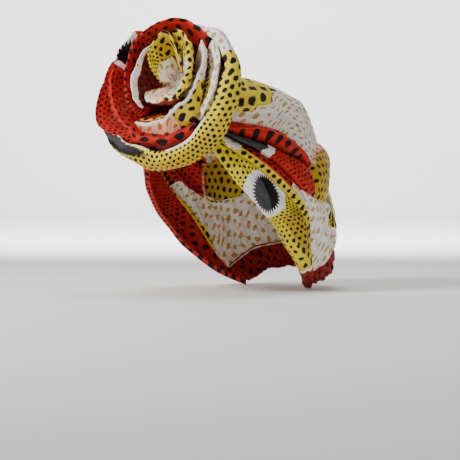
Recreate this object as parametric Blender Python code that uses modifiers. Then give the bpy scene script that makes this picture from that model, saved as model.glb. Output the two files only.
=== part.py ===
"""Turban head wrap: a head covering gathered into folds, with a coiled rosette on the forehead.

Lengths below are millimetres, turned into metres where vertices are placed. The head centre
lies SEAT_HEIGHT under the origin, the face looks along -Y and the wearer's left is +X. The
folds run round an axis from the knot to the nape: "along" is the angle from the knot and
"around" is the angle about that axis, 0 over the top and 90 at the wearer's left.
"""

import math

import bmesh
import bpy

# Head and cloth.
HEAD_WIDE = 77.0
HEAD_DEEP = 96.0
HEAD_TALL = 107.0
WALL = 2.0
SEAT_HEIGHT = HEAD_TALL - WALL
KNOT_TILT = 51.0
EDGE_GAP = 0.35
START = 12.0

# Fold lines on the wearer's left: (along, around) in degrees.
HAIRLINE = [(14, 128), (35, 123), (57, 120.5), (71, 117), (86, 115.6), (96, 113.5), (112, 114),
            (131, 111.4), (145, 109.5), (157, 106)]
BAND_LINE = [(14, 117), (34, 108), (42, 102), (60, 94.6), (78, 92.2), (94, 88.8), (110, 90.2),
             (133, 95.7), (146, 98), (157, 99)]
SECOND_LINE = [(14, 108), (33, 100.3), (52, 89.7), (70, 85), (91, 80.3), (105, 83), (120, 87.4),
               (134, 94), (146, 97.6), (158, 98.6)]
SECOND_TOP = [(14, 108), (33, 100.3), (52, 89.7), (70, 85), (91, 80.3), (105, 72.7)]
THIRD_LINE = [(14, 102), (32, 94), (50, 79), (63, 73.7), (76, 65.2), (86, 62), (95, 64.5),
              (105, 71.5)]
CROWN_LINE = [(14, 88), (30, 77.3), (40, 68.2), (52, 60.8), (66, 57.7), (74, 56.7), (86, 57.2)]

# Seams across the back: (around, along) in degrees.
BACK_SEAM = [(0, 95), (25, 92), (38, 88), (48, 85.5), (57.2, 85), (60, 87), (64, 95), (70, 104.5),
             (74, 107)]
DRAPE_SEAM = [(0, 118), (52, 118), (64, 114), (71, 108), (74, 104.5), (77, 98.5), (80.5, 91.5)]
NAPE_SEAM = [(0, 152), (40, 149), (60, 146.5), (98, 146.5)]
HEM = [(0, 165), (45, 161), (62, 158), (78, 158), (90, 158.5), (99, 158.5)]

# Puff of each fold: (along, height).
BAND_PUFF = [(14, 1), (30, 3.5), (60, 4), (90, 4), (120, 5), (157, 4)]
SECOND_PUFF = [(14, 1.5), (30, 5), (60, 6), (90, 6), (110, 4), (134, 1.5)]
THIRD_PUFF = [(14, 1.5), (30, 5), (55, 7), (80, 7), (95, 4), (105, 1.5)]
UPPER_PUFF = [(14, 2), (30, 8), (45, 9.5), (60, 9.5), (75, 7), (86, 2)]
CROWN_PUFF = [(12, 1), (25, 3), (41, 5.5), (57, 8), (67, 11.5), (73, 8.5), (79, 5), (86, 2),
              (96, 0)]
BACK_PUFF = 8.0
BAG = 23.5
DRAPE_PUFF = 5.5
NAPE_PUFF = 3.5

# Rosette: centre from the head centre, and the way its axis points.
ROSE_AT = (0.0, -88.0, 97.0)
ROSE_TURN = 24.0
ROSE_RISE = 15.0
PETAL_WALL = 1.6
PETAL_FOOT = 0.52
TIP_FOOT = 0.62
FLARE = 1.4

# Ring: angle, widest radius, rim radius, rim height, floor height, floor height at the hole.
RING = [
    (0, 72, 54, 12, -20, -21),
    (25, 73, 62, 10, -27, -28),
    (50, 74, 66, 4, -29, -30),
    (75, 69, 65, -3, -30, -31),
    (105, 64, 61, -8, -30, -31),
    (135, 64, 61, -8, -30, -31),
    (180, 66, 63, -4, -28, -28),
    (208, 71, 66, -2, -25, -26),
    (232, 72, 63, 9, -20, -21),
    (250, 72, 60, 11, -14, -17),
    (270, 72, 59, 12, -9.5, -13.5),
    (300, 72, 56, 12, -9.5, -13),
    (330, 72, 52.5, 13, -11.5, -13),
]

# Petals: angle, rim radius, rim height.
PETAL_TIP = [(98, 60, -2), (112, 62.5, 5), (124, 65.5, 12), (134, 65.5, 9), (142, 66, 8),
             (149, 63, 4)]
PETAL_OUTER = [(152, 62, 10), (169, 62, 8), (182, 66, 6), (194, 70.5, 5), (205, 71, 5),
               (217, 62, 6), (232, 57, 5), (244, 55, 1)]
ROLL_LOWER = [(152, 56.5, 9), (166, 56, 12), (185, 53, 13), (201, 51.5, 13), (226, 48, 13),
              (240, 49.5, 13), (257, 50.8, 14), (281, 48.7, 15), (305, 48.5, 13), (318, 48, 8)]
COIL_TOP = [(53, 60, 3), (60, 65, 7), (75, 69, 9), (89, 69, 11), (105, 66, 12), (124, 61, 13),
            (141, 49.5, 16), (169, 39.3, 17), (200, 36.3, 15), (228, 33, 8)]
LEAF_RIGHT = [(323, 45, 6), (335, 48, 13), (355, 49.5, 15), (375, 54, 15), (390, 60, 12),
              (402, 64, 9), (410, 63, 5)]
PETAL_RIMMED = [(229, 39, 8), (245, 37, 14), (264, 32.3, 17), (290, 28.5, 19), (315, 27, 20),
                (345, 30, 20), (370, 36, 19), (390, 44, 17), (405, 52, 14), (416, 58, 9)]
COIL_RIMMED = [(108, 45, 13), (120, 42, 18), (144, 34.8, 20), (177, 30.2, 20), (208, 28.6, 18),
               (224, 26, 12)]
BUD_OUTER = [(229, 32, 14), (255, 31, 19), (284, 30.5, 22), (313, 27.5, 24), (360, 25.5, 24),
             (400, 30, 22), (421, 36, 20), (436, 42, 17), (443, 41, 11)]
BUD_INNER = [(91, 36, 14), (98, 40, 20), (112, 34, 21), (139, 25, 20), (165, 20, 19),
             (191, 17, 18), (230, 14, 17), (270, 11.5, 17), (305, 10, 16)]
BUD_CENTRE = (4.0, 15.0)
BUD_FOOT = 0.36
DOME_MIDDLE = -20.0

COLOURS = {
    "red": (0.72, 0.033, 0.013),
    "dark red": (0.35, 0.012, 0.012),
    "yellow": (0.94, 0.80, 0.025),
    "gold": (0.62, 0.34, 0.02),
    "cream": (0.95, 0.91, 0.82),
    "peach": (0.85, 0.45, 0.28),
    "black": (0.02, 0.016, 0.018),
}


def table(rows, at, column=1):
    """Smooth value of a table column at a position in its first column."""
    if at <= rows[0][0]:
        return float(rows[0][column])
    for low, high in zip(rows, rows[1:]):
        if at <= high[0]:
            share = (at - low[0]) / (high[0] - low[0])
            return low[column] + (high[column] - low[column]) * share
    return float(rows[-1][column])


def smooth_table(rows, at, column=1):
    """The table value with its corners rounded, by averaging near the position."""
    span = (rows[-1][0] - rows[0][0]) * 0.03
    near = [table(rows, at + span * step, column) for step in (-1.0, -0.5, 0.0, 0.5, 1.0)]
    return sum(near) / 5.0


def ring_value(at, column):
    """Value of a ring column at an angle, closed round the circle."""
    at = at % 360.0
    rows = RING + [(360,) + RING[0][1:]]
    for low, high in zip(rows, rows[1:]):
        if at <= high[0]:
            share = (at - low[0]) / (high[0] - low[0])
            share = share * share * (3.0 - 2.0 * share)
            return low[column] + (high[column] - low[column]) * share
    return float(rows[-1][column])


def step_up(low, high, at):
    """0 below low, 1 above high, smooth between."""
    share = min(max((at - low) / (high - low), 0.0), 1.0)
    return share * share * (3.0 - 2.0 * share)


def bag(along, around):
    """How far the cloth hangs out from the head at the back and the nape."""
    rise = BAG * step_up(118.0, 165.0, along)
    sides = 1.0 - 0.62 * step_up(70.0, 112.0, abs(around))
    under = 1.0 - 0.45 * step_up(158.0, 175.0, along)
    return rise * sides * under


def head_radius(along, around):
    """Unit direction for the two angles, and the distance to the bare base of the cloth."""
    tilt = math.radians(KNOT_TILT)
    a = math.radians(along)
    b = math.radians(around)
    side = math.sin(a) * math.sin(b)
    front = math.cos(a)
    up = math.sin(a) * math.cos(b)
    way = (side, -front * math.cos(tilt) + up * math.sin(tilt),
           front * math.sin(tilt) + up * math.cos(tilt))
    size = (way[0] / HEAD_WIDE) ** 2 + (way[1] / HEAD_DEEP) ** 2 + (way[2] / HEAD_TALL) ** 2
    return way, 1.0 / math.sqrt(size)


def head_point(along, around, lift):
    """Point of the cloth from the two angles and its lift from the base, in metres."""
    way, reach = head_radius(along, around)
    reach += lift + bag(along, around)
    return (way[0] * reach / 1000.0, way[1] * reach / 1000.0,
            (way[2] * reach - SEAT_HEIGHT) / 1000.0)


def rose_point(angle, radius, height, centre=(0.0, 0.0)):
    """Point of the rosette from polar values about its axis, in metres."""
    turn = math.radians(ROSE_TURN)
    rise = math.radians(ROSE_RISE)
    out = (math.sin(turn) * math.cos(rise), -math.cos(turn) * math.cos(rise), math.sin(rise))
    right = (math.cos(turn), math.sin(turn), 0.0)
    up = (-math.sin(turn) * math.sin(rise), math.cos(turn) * math.sin(rise), math.cos(rise))
    p = centre[0] + radius * math.cos(math.radians(angle))
    q = centre[1] + radius * math.sin(math.radians(angle))
    where = [ROSE_AT[i] + right[i] * p + up[i] * q + out[i] * height for i in range(3)]
    return (where[0] / 1000.0, where[1] / 1000.0, (where[2] - SEAT_HEIGHT) / 1000.0)


def base_height(angle, radius):
    """Height of the dome of the knot, which the petals stand on."""
    share = min(radius / 40.0, 1.0)
    floor = DOME_MIDDLE + (ring_value(angle, 4) - DOME_MIDDLE) * share
    return floor + 2.6 + 8.0 * (1.0 - share * share)


def rounded(share, lean, power):
    """Cross profile of a fold: 0 at both edges, 1 at its top, leaning to one side."""
    return math.sin(math.pi * share ** lean) ** power


def finish(name, mesh, colour, rough=0.85):
    """Object in the part's collection, from a finished bmesh."""
    bmesh.ops.recalc_face_normals(mesh, faces=mesh.faces)
    data = bpy.data.meshes.new(name)
    mesh.to_mesh(data)
    mesh.free()
    item = bpy.data.objects.new(name, data)
    bpy.data.collections["turban_head_wrap"].objects.link(item)
    material = bpy.data.materials.new(name + "_cloth")
    material.use_nodes = True
    shader = material.node_tree.nodes["Principled BSDF"]
    shader.inputs["Base Color"].default_value = COLOURS[colour] + (1.0,)
    shader.inputs["Roughness"].default_value = rough
    shader.inputs["Metallic"].default_value = 0.0
    data.materials.append(material)
    return item


def sheet(name, columns, rows, place, colour, wall, offset, closed=False):
    """Open grid bent by place(share across, share along), then thickened to a cloth wall."""
    mesh = bmesh.new()
    bmesh.ops.create_grid(mesh, x_segments=columns, y_segments=rows, size=0.5)
    for vertex in mesh.verts:
        vertex.co = place(vertex.co.x + 0.5, vertex.co.y + 0.5)
    if closed:
        bmesh.ops.remove_doubles(mesh, verts=mesh.verts, dist=0.00001)
    mesh.normal_update()
    mesh.faces.ensure_lookup_table()
    middle = mesh.faces[len(mesh.faces) // 2]
    if offset == "inward" and faces_in(middle):
        bmesh.ops.reverse_faces(mesh, faces=mesh.faces)
    data = bpy.data.meshes.new(name)
    mesh.to_mesh(data)
    mesh.free()
    item = bpy.data.objects.new(name, data)
    bpy.data.collections["turban_head_wrap"].objects.link(item)
    thick = item.modifiers.new("wall", "SOLIDIFY")
    thick.thickness = wall / 1000.0
    thick.offset = -1.0 if offset == "inward" else 0.0
    material = bpy.data.materials.new(name + "_cloth")
    material.use_nodes = True
    shader = material.node_tree.nodes["Principled BSDF"]
    shader.inputs["Base Color"].default_value = COLOURS[colour] + (1.0,)
    shader.inputs["Roughness"].default_value = 0.85
    shader.inputs["Metallic"].default_value = 0.0
    data.materials.append(material)
    return item


def faces_in(face):
    """Whether a face of the head covering looks at the head centre."""
    at = face.calc_center_median()
    outward = (at.x, at.y, at.z + SEAT_HEIGHT / 1000.0)
    return sum(a * b for a, b in zip(outward, face.normal)) < 0.0


def trim(along, around_low, around_high):
    """The two edges of a strip, each moved in by the gap."""
    way, reach = head_radius(along, 90.0)
    inset = math.degrees(EDGE_GAP / (reach * math.sin(math.radians(along))))
    return around_low + inset, around_high - inset


def side_fold(name, side, low_line, high_line, puff, end, columns, rows, lean, power, colour):
    """Strip fold from the knot, between two fold lines, on one side of the head."""

    def place(across, share):
        along = START + (end - START) * share
        low, high = trim(along, smooth_table(low_line, along), smooth_table(high_line, along))
        around = low + (high - low) * across
        lift = smooth_table(puff, along) * rounded(across, lean, power)
        return head_point(along, side * around, lift)

    return sheet(name, columns, rows, place, colour, WALL, "inward")


def crown():
    """Gathered cloth over the top of the head, from the knot to the back seam."""

    def place(across, share):
        spread = 2.0 * across - 1.0
        final = smooth_table(BACK_SEAM, abs(spread) * 57.0) - 0.25
        along = START + (final - START) * share
        low, high = trim(along, 0.0, smooth_table(CROWN_LINE, along))
        around = spread * high
        sides = (1.0 - spread * spread) ** 0.55
        ridge = 1.5 * math.cos(math.pi * 5.0 * spread) * math.sin(math.pi * share) ** 0.7
        lift = (smooth_table(CROWN_PUFF, along) + ridge) * sides
        return head_point(along, around, lift)

    return sheet("crown", 20, 13, place, "cream", WALL, "inward")


def back_puff():
    """Lobe that runs across the back under the crown."""

    def place(across, share):
        spread = 2.0 * across - 1.0
        around = spread * 70.0
        top = smooth_table(BACK_SEAM, abs(around)) + 0.3
        low = smooth_table(DRAPE_SEAM, abs(around)) - 0.25
        along = top + (low - top) * share
        ends = (1.0 - abs(spread) ** 6) ** 0.5
        lift = BACK_PUFF * rounded(share, 0.8, 0.6) * ends
        lift += 0.8 * math.cos(math.pi * 5.0 * spread) * math.sin(math.pi * share) * ends
        return head_point(along, around, lift)

    return sheet("back_puff", 20, 5, place, "gold", WALL, "inward")


def drape_top(around):
    """Upper edge of the drape, following the back lobe and the third fold."""
    return smooth_table(DRAPE_SEAM, abs(around)) + 0.3


def back_drape():
    """Long wrinkled drape from the back lobe down to the nape."""

    def place(across, share):
        spread = 2.0 * across - 1.0
        top = drape_top(spread * 80.0)
        low = smooth_table(NAPE_SEAM, abs(spread) * 96.0) - 0.25
        along = top + (low - top) * share
        inner, outer = trim(along, 0.0, smooth_table(SECOND_LINE, along))
        around = spread * outer
        ends = (1.0 - abs(spread) ** 8) ** 0.5
        lift = DRAPE_PUFF * rounded(share, 0.7, 0.6) * ends
        lift += 1.4 * math.cos(math.pi * 6.0 * spread) * math.sin(math.pi * share) * ends
        return head_point(along, around, lift)

    return sheet("back_drape", 24, 7, place, "cream", WALL, "inward")


def nape_gather():
    """Gathered cloth at the nape, down to the hem."""

    def place(across, share):
        spread = 2.0 * across - 1.0
        top = smooth_table(NAPE_SEAM, abs(spread) * 96.0) + 0.3
        low = smooth_table(HEM, abs(spread) * 99.0)
        along = top + (low - top) * share
        inner, outer = trim(along, 0.0, smooth_table(BAND_LINE, along))
        around = spread * outer
        lift = NAPE_PUFF * rounded(share, 0.8, 0.6)
        lift += 1.3 * math.cos(math.pi * 8.0 * spread) * math.sin(math.pi * min(share, 0.8))
        return head_point(along, around, lift)

    return sheet("nape_gather", 32, 5, place, "dark red", WALL, "inward")


def ring():
    """Outer cup of the rosette: a band that rises from the knot and rolls in at its rim."""

    def section(angle):
        wide = ring_value(angle, 1)
        rim = ring_value(angle, 2)
        rim_up = ring_value(angle, 3)
        floor = ring_value(angle, 4)
        hole = ring_value(angle, 5)
        low = min(floor + 7.0, -5.0)
        return [(28.0, hole), (38.0, floor - 0.6), (52.0, floor + 1.5), (wide - 7.0, low),
                (wide, min(-2.0, (low + rim_up) * 0.5 + 2.0)), (wide - 1.5, rim_up * 0.5 + 1.0),
                (0.5 * (wide + rim), rim_up), (rim, rim_up + 0.5)]

    def place(across, share):
        angle = 360.0 * across
        points = section(angle)
        at = share * (len(points) - 1)
        low = min(int(at), len(points) - 2)
        part = at - low
        r = points[low][0] + (points[low + 1][0] - points[low][0]) * part
        w = points[low][1] + (points[low + 1][1] - points[low][1]) * part
        return rose_point(angle, r, w)

    return sheet("rosette_ring", 36, 7, place, "yellow", PETAL_WALL, "centred", closed=True)


def petal(name, rows, colour, columns, height_steps, centre=(0.0, 0.0), narrow=PETAL_FOOT,
          above=1.3):
    """Curved wall that stands on the knot and flares to its rim."""

    def place(across, share):
        angle = rows[0][0] + (rows[-1][0] - rows[0][0]) * across
        rim = smooth_table(rows, angle, 1)
        rim_up = smooth_table(rows, angle, 2)
        foot = narrow * rim
        p = centre[0] + foot * math.cos(math.radians(angle))
        q = centre[1] + foot * math.sin(math.radians(angle))
        bottom = base_height(math.degrees(math.atan2(q, p)), math.hypot(p, q)) + above
        radius = rim * (narrow + (1.0 - narrow) * share ** FLARE)
        return rose_point(angle, radius, bottom + (rim_up - bottom) * share, centre)

    return sheet(name, columns, height_steps, place, colour, PETAL_WALL, "centred")


def knot():
    """Wound core: its foot fills the gathered opening, its dome carries the petals."""
    mesh = bmesh.new()
    sides = 24
    rings = []
    for step in range(2):
        lift = (-1.6, 0.6)[step]
        loop = []
        for index in range(sides):
            angle = 360.0 * index / sides
            loop.append(mesh.verts.new(head_point(START - 0.6, 90.0 - angle, lift)))
        rings.append(loop)
    for radius, drop in ((20.5, None), (33.0, 2.4), (38.0, 2.6)):
        loop = []
        for index in range(sides):
            angle = 360.0 * index / sides
            if drop is None:
                height = ring_value(angle, 5) + 1.6
            else:
                height = ring_value(angle, 4) + drop
            loop.append(mesh.verts.new(rose_point(angle, radius, height)))
        rings.append(loop)
    for radius in (30.0, 20.0, 10.0):
        loop = []
        for index in range(sides):
            angle = 360.0 * index / sides
            loop.append(mesh.verts.new(rose_point(angle, radius, base_height(angle, radius))))
        rings.append(loop)
    for low, high in zip(rings, rings[1:]):
        for index in range(sides):
            after = (index + 1) % sides
            mesh.faces.new((low[index], low[after], high[after], high[index]))
    mesh.faces.new(rings[0])
    mesh.faces.new(rings[-1])
    return finish("knot", mesh, "dark red")


def build():
    """The whole wrap, in one collection."""
    for item in list(bpy.data.objects):
        bpy.data.objects.remove(item, do_unlink=True)
    group = bpy.data.collections.new("turban_head_wrap")
    bpy.context.scene.collection.children.link(group)
    crown()
    for label, side in (("left", 1.0), ("right", -1.0)):
        side_fold("front_band_" + label, side, BAND_LINE, HAIRLINE, BAND_PUFF, 157.0,
                  4, 20, 1.0, 0.5, "yellow")
        side_fold("second_fold_" + label, side, SECOND_LINE, BAND_LINE, SECOND_PUFF, 134.0,
                  3, 16, 1.4, 0.7, "yellow")
        side_fold("third_fold_" + label, side, THIRD_LINE, SECOND_TOP, THIRD_PUFF, 103.5,
                  4, 13, 1.5, 0.7, "red")
        side_fold("upper_band_" + label, side, CROWN_LINE, THIRD_LINE, UPPER_PUFF, 85.0,
                  5, 11, 1.5, 0.7, "red")
    back_puff()
    back_drape()
    nape_gather()
    knot()
    ring()
    petal("petal_tip", PETAL_TIP, "black", 7, 4, (0.0, 0.0), TIP_FOOT, -0.9)
    petal("petal_outer", PETAL_OUTER, "red", 11, 5)
    petal("roll_lower", ROLL_LOWER, "red", 17, 5)
    petal("coil_top", COIL_TOP, "red", 17, 5)
    petal("leaf_right", LEAF_RIGHT, "cream", 10, 5)
    petal("petal_rimmed", PETAL_RIMMED, "peach", 17, 5)
    petal("coil_rimmed", COIL_RIMMED, "dark red", 11, 5, (0.0, 0.0), PETAL_FOOT, 0.9)
    petal("bud_outer", BUD_OUTER, "cream", 16, 5, BUD_CENTRE, BUD_FOOT)
    petal("bud_inner", BUD_INNER, "yellow", 14, 5, BUD_CENTRE, BUD_FOOT)


build()
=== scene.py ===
"""Printed cotton head wrap: folds gathered from a forehead knot to the nape, and a coiled rosette.

Lengths in the tables are millimetres. "along" is the angle from the knot towards the nape and
"around" the angle about that axis, 0 over the top and 90 at the left side as worn.
"""

import math

import bmesh
import bpy
import numpy as np
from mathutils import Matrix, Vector


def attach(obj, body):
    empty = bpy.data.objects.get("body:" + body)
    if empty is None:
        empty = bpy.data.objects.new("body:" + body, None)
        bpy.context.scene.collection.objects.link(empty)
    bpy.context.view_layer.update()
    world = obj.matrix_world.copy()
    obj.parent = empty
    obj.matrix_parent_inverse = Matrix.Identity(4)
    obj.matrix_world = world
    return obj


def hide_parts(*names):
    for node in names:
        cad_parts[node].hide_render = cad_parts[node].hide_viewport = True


bl_info = {
    "name": "Printed Head Wrap",
    "version": (1, 0, 0),
    "blender": (4, 5, 0),
    "location": "3D View > Sidebar > Head Wrap",
    "description": "Builds a gathered cotton head wrap with a coiled rosette",
    "category": "Add Mesh",
}

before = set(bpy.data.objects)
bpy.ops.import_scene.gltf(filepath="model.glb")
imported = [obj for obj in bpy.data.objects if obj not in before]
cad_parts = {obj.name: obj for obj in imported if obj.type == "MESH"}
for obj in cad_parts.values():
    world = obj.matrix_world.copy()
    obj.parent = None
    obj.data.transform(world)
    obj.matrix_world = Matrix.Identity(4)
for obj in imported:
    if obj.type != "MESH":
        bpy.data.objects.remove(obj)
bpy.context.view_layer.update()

FULL_TURN = 2.0 * math.pi

# Hollow that the cloth lies on, as in the solids: half sizes, and the origin above its middle.
HEAD_WIDE = 77.0
HEAD_DEEP = 96.0
HEAD_TALL = 107.0
SEAT_HEIGHT = 105.0

# Knot: how far its axis is raised, and where the folds start around it, in degrees.
KNOT_TILT = 51.0
START = 10.4

# How far the cloth hangs out at the back, and the length of cloth for a degree.
BAG = 23.5
DEGREE = 1.69

# Fold lines on one side: (along, around).
HAIRLINE = [(14, 128), (35, 123), (57, 120.5), (71, 117), (86, 115.6), (96, 113.5), (112, 114),
            (131, 111.4), (145, 109.5), (157, 106)]
BAND_LINE = [(14, 117), (33, 110), (42, 106), (50, 102.5), (61, 98.8), (74, 95.8), (90, 93),
             (100, 91.2), (110, 91), (133, 95.7), (146, 98), (157, 99)]
SECOND_LINE = [(14, 108), (33, 99.5), (50, 89.5), (61, 86.5), (74, 83.8), (91, 80.8),
               (105, 83), (120, 87.4), (134, 94), (146, 97.6), (158, 98.6)]
SECOND_TOP = [(14, 108), (33, 99.5), (50, 89.5), (61, 86.5), (74, 83.8), (91, 79.5), (105, 72.7)]
THIRD_LINE = [(14, 102), (32, 94), (50, 79), (63, 73.7), (76, 65.2), (86, 62), (95, 64.5),
              (105, 71.5)]
CROWN_LINE = [(14, 88), (30, 77.3), (40, 68.2), (52, 60.8), (66, 57.7), (74, 56.7), (86, 57.2)]

# Seams across the back: (around, along).
BACK_SEAM = [(0, 95), (25, 92), (38, 88), (48, 85.5), (57.2, 85), (60, 87), (64, 95), (70, 104.5),
             (74, 107)]
DRAPE_SEAM = [(0, 118), (52, 118), (64, 114), (71, 108), (74, 104.5), (77, 98.5), (80.5, 91.5)]
NAPE_SEAM = [(0, 152), (40, 149), (60, 146.5), (98, 146.5)]
HEM = [(0, 165), (45, 161), (62, 158), (78, 158), (90, 158.5), (99, 158.5)]

# How far to each side of the middle of the back the seams are followed, and the puff's own reach.
PUFF_SPREAD = 71.5
CROWN_REACH = 57.0
PUFF_REACH = 70.0
DRAPE_REACH = 84.0
NAPE_REACH = 96.0
HEM_REACH = 99.0

# Where the wide back pieces stop widening with the angle from the knot.
WIDEST = 140.0

# Puff of each fold: (along, height).
BAND_PUFF = [(14, 1), (30, 3.5), (60, 4), (90, 4), (120, 5), (157, 4)]
SECOND_PUFF = [(14, 1.5), (30, 5), (60, 6), (90, 6), (110, 4), (134, 1.5)]
THIRD_PUFF = [(14, 1.5), (30, 5), (55, 7), (80, 7), (95, 4), (105, 1.5)]
UPPER_PUFF = [(14, 2), (30, 8), (45, 9.5), (60, 9.5), (75, 7), (86, 2)]
CROWN_PUFF = [(12, 1), (25, 3), (41, 5.5), (57, 8), (67, 11.5), (73, 8.5), (79, 5), (86, 2),
              (96, 0)]

# Rosette: centre from the middle of the hollow, and the way its axis points.
ROSE_AT = (0.0, -88.0, 97.0)
ROSE_TURN = 24.0
ROSE_RISE = 15.0
DOME_MIDDLE = -20.0
FLARE = 1.4

# Ring: angle, widest radius, rim radius, rim height, floor height, floor height at the hole.
RING = [
    (0, 72, 54, 12, -20, -21),
    (25, 73, 62, 10, -27, -28),
    (50, 74, 66, 4, -29, -30),
    (75, 69, 65, -3, -30, -31),
    (105, 64, 61, -8, -30, -31),
    (135, 64, 61, -8, -30, -31),
    (180, 66, 63, -4, -28, -28),
    (208, 71, 66, -2, -25, -26),
    (232, 72, 63, 9, -20, -21),
    (250, 72, 60, 11, -14, -17),
    (270, 72, 59, 12, -9.5, -13.5),
    (300, 72, 56, 12, -9.5, -13),
    (330, 72, 52.5, 13, -11.5, -13),
    (360, 72, 54, 12, -20, -21),
]

# Petals: angle, rim radius, rim height.
PETALS = {
    "petal_tip": [(98, 60, -2), (112, 62.5, 5), (121, 65.5, 14), (130, 65, 9), (142, 64.5, 8),
                  (150, 60, 7), (160, 53, 3)],
    "petal_outer": [(148, 56.5, 9), (151, 57.5, 15), (152.5, 57.5, 18.5), (154.5, 58.5, 15),
                    (161, 61, 10), (169, 62, 8), (182, 66, 6), (194, 70.5, 5), (205, 71, 5),
                    (217, 62, 6), (232, 57, 5), (244, 55, 1)],
    "roll_lower": [(152, 56.5, 9), (166, 56, 12), (185, 53, 13), (201, 51.5, 13), (226, 48, 13),
                   (240, 49.5, 13), (257, 50.8, 14), (281, 48.7, 15), (305, 48.5, 13),
                   (318, 48, 8)],
    "coil_top": [(53, 60, 3), (60, 65, 7), (75, 69, 9), (89, 69, 11), (105, 65.5, 12),
                 (124, 57.5, 13), (141, 46.5, 16), (169, 37, 17), (200, 34.5, 15), (228, 32, 8)],
    "leaf_right": [(323, 45, 6), (335, 48, 13), (355, 49.5, 15), (375, 54, 15), (390, 60, 12),
                   (402, 64, 9), (410, 63, 5)],
    "petal_rimmed": [(229, 39, 8), (245, 37, 14), (264, 32.3, 17), (290, 28.5, 19),
                     (315, 27, 20), (345, 30, 20), (370, 36, 19), (390, 44, 17), (405, 52, 14),
                     (416, 58, 9)],
    "coil_rimmed": [(108, 45, 13), (120, 41, 18), (144, 32, 20), (177, 27.4, 20),
                    (208, 26.6, 18), (224, 25, 12)],
    "bud_outer": [(210, 27, 3), (219, 29, 8), (230, 31, 13), (240, 31.5, 16), (255, 31, 19),
                  (284, 30.5, 22), (313, 27.5, 24), (360, 25.5, 24), (400, 30, 22),
                  (421, 36, 20), (436, 42, 17), (449, 41, 14)],
    "bud_inner": [(60, 13, 2), (76, 24, 11), (90, 35, 17), (98, 40, 20), (112, 34, 21),
                  (139, 24, 20), (156, 19.5, 16), (172, 16.5, 8), (190, 14.5, -4)],
}

# Foot of a petal as a share of its rim radius, and the centre of those that aren't on the axis.
USUAL_FOOT = 0.52
FOOT = {"petal_tip": 0.62, "bud_outer": 0.36, "bud_inner": 0.36}
CENTRE = {"bud_outer": (4.0, 15.0), "bud_inner": (4.0, 15.0)}

# Turned-down outer layer of each petal: angle, how far out it ends, how far down.
COLLARS = {
    "petal_tip": [(98, -5, 15), (160, -5, 15)],
    "petal_outer": [(151, -6, 18), (200, -6, 18), (222, 2, 10), (244, 4, 8)],
    "roll_lower": [(152, -6, 16), (226, -3, 14), (243, 3, 10), (262, 6.5, 8), (305, 6.5, 8),
                   (318, 3, 8)],
    "coil_top": [(53, -5, 12), (105, -6, 16), (228, -6, 16)],
    "leaf_right": [(323, -3, 14), (410, -4, 14)],
    "petal_rimmed": [(229, 1, 8), (245, 5, 10), (264, 10.5, 11), (290, 13.5, 12),
                     (315, 14.5, 12), (332, 11.5, 12), (350, 6, 12), (372, 0, 13),
                     (416, -4, 12)],
    "coil_rimmed": [(108, -5, 14), (224, -5, 14)],
    "bud_outer": [(211, -3, 8), (240, -4, 12), (443, -4, 12)],
    "bud_inner": [(64, -4, 12), (200, -4, 12)],
}

# Radius of each petal's folded rim, as a share of the setting for it.
ROLL = {"bud_outer": 2.2, "roll_lower": 1.9, "coil_top": 1.3, "bud_inner": 0.75,
        "petal_rimmed": 0.75, "leaf_right": 0.7, "petal_outer": 0.9, "petal_tip": 0.75,
        "coil_rimmed": 0.9}

# Shares along a petal: end of its inner face, its rim, and start and length of its outer layer.
INNER_END = 0.46
RIM_SHARE = 0.12
OUTER_START = 0.58
OUTER_SHARE = 0.42

# Rows that the print is measured from, as shares along the piece.
RING_EDGE = 0.87
PETAL_EDGE = 0.52

# Print: point attributes, and the values that put a ground or the eye everywhere or nowhere.
FIELDS = ("dots", "grounds", "eye", "weave_and_painted_shade", "plain")
EVERYWHERE = 9.0
NOWHERE = -9.0
FAR_OFF = 6.0

# Distance between berries, and how fast the threads repeat, in radians for a millimetre.
BERRY_PITCH = 9.4
THREAD_RATE = 11.5

# Eye: teeth around it, and on the front band its middle, half lengths and lean.
EYE_TEETH = 32.0
EYE_ALONG = 71.5
EYE_AROUND = 107.0
EYE_LONG = 19.5
EYE_SHORT = 12.6
EYE_LEAN = 14.0

# Pale hem across the front band, and where the red end behind it starts.
PALE_HEM = (136.2, 138.4)
RED_END = 137.3

# Floor height in metres, and the camera's aim, direction, distance and lens.
FLOOR = -0.1925
CAMERA_AIM = (-0.0034, -0.0034, -0.1354)
CAMERA_AZIMUTH = 45.0
CAMERA_RISE = 2.0
CAMERA_DISTANCE = 1.8
CAMERA_LENS = 148.0


def lookup(rows, at, column=1):
    """Value of a table column at positions in its first column, with rounded corners."""
    places = [row[0] for row in rows]
    values = [row[column] for row in rows]
    span = (places[-1] - places[0]) * 0.03
    near = [np.interp(at + span * step, places, values) for step in (-1.0, -0.5, 0.0, 0.5, 1.0)]
    return sum(near) / 5.0


def ring_value(at, column):
    """Value of a ring column at angles, eased between its rows."""
    at = np.mod(at, 360.0)
    places = np.array([row[0] for row in RING], float)
    values = np.array([row[column] for row in RING], float)
    low = np.clip(np.searchsorted(places, at, side="right") - 1, 0, len(places) - 2)
    share = (at - places[low]) / (places[low + 1] - places[low])
    share = share * share * (3.0 - 2.0 * share)
    return values[low] + (values[low + 1] - values[low]) * share


def ease(low, high, at):
    """0 below low, 1 above high, smooth between."""
    share = np.clip((at - low) / (high - low), 0.0, 1.0)
    return share * share * (3.0 - 2.0 * share)


def between(low, high, at):
    """Distance inside the range from low to high, negative outside it."""
    return np.minimum(at - low, high - at)


def rounded(share, lean, power):
    """Cross profile of a fold: 0 at both edges, 1 at its top, leaning to one side."""
    return np.sin(math.pi * np.clip(share, 0.0, 1.0) ** lean) ** power


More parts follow.
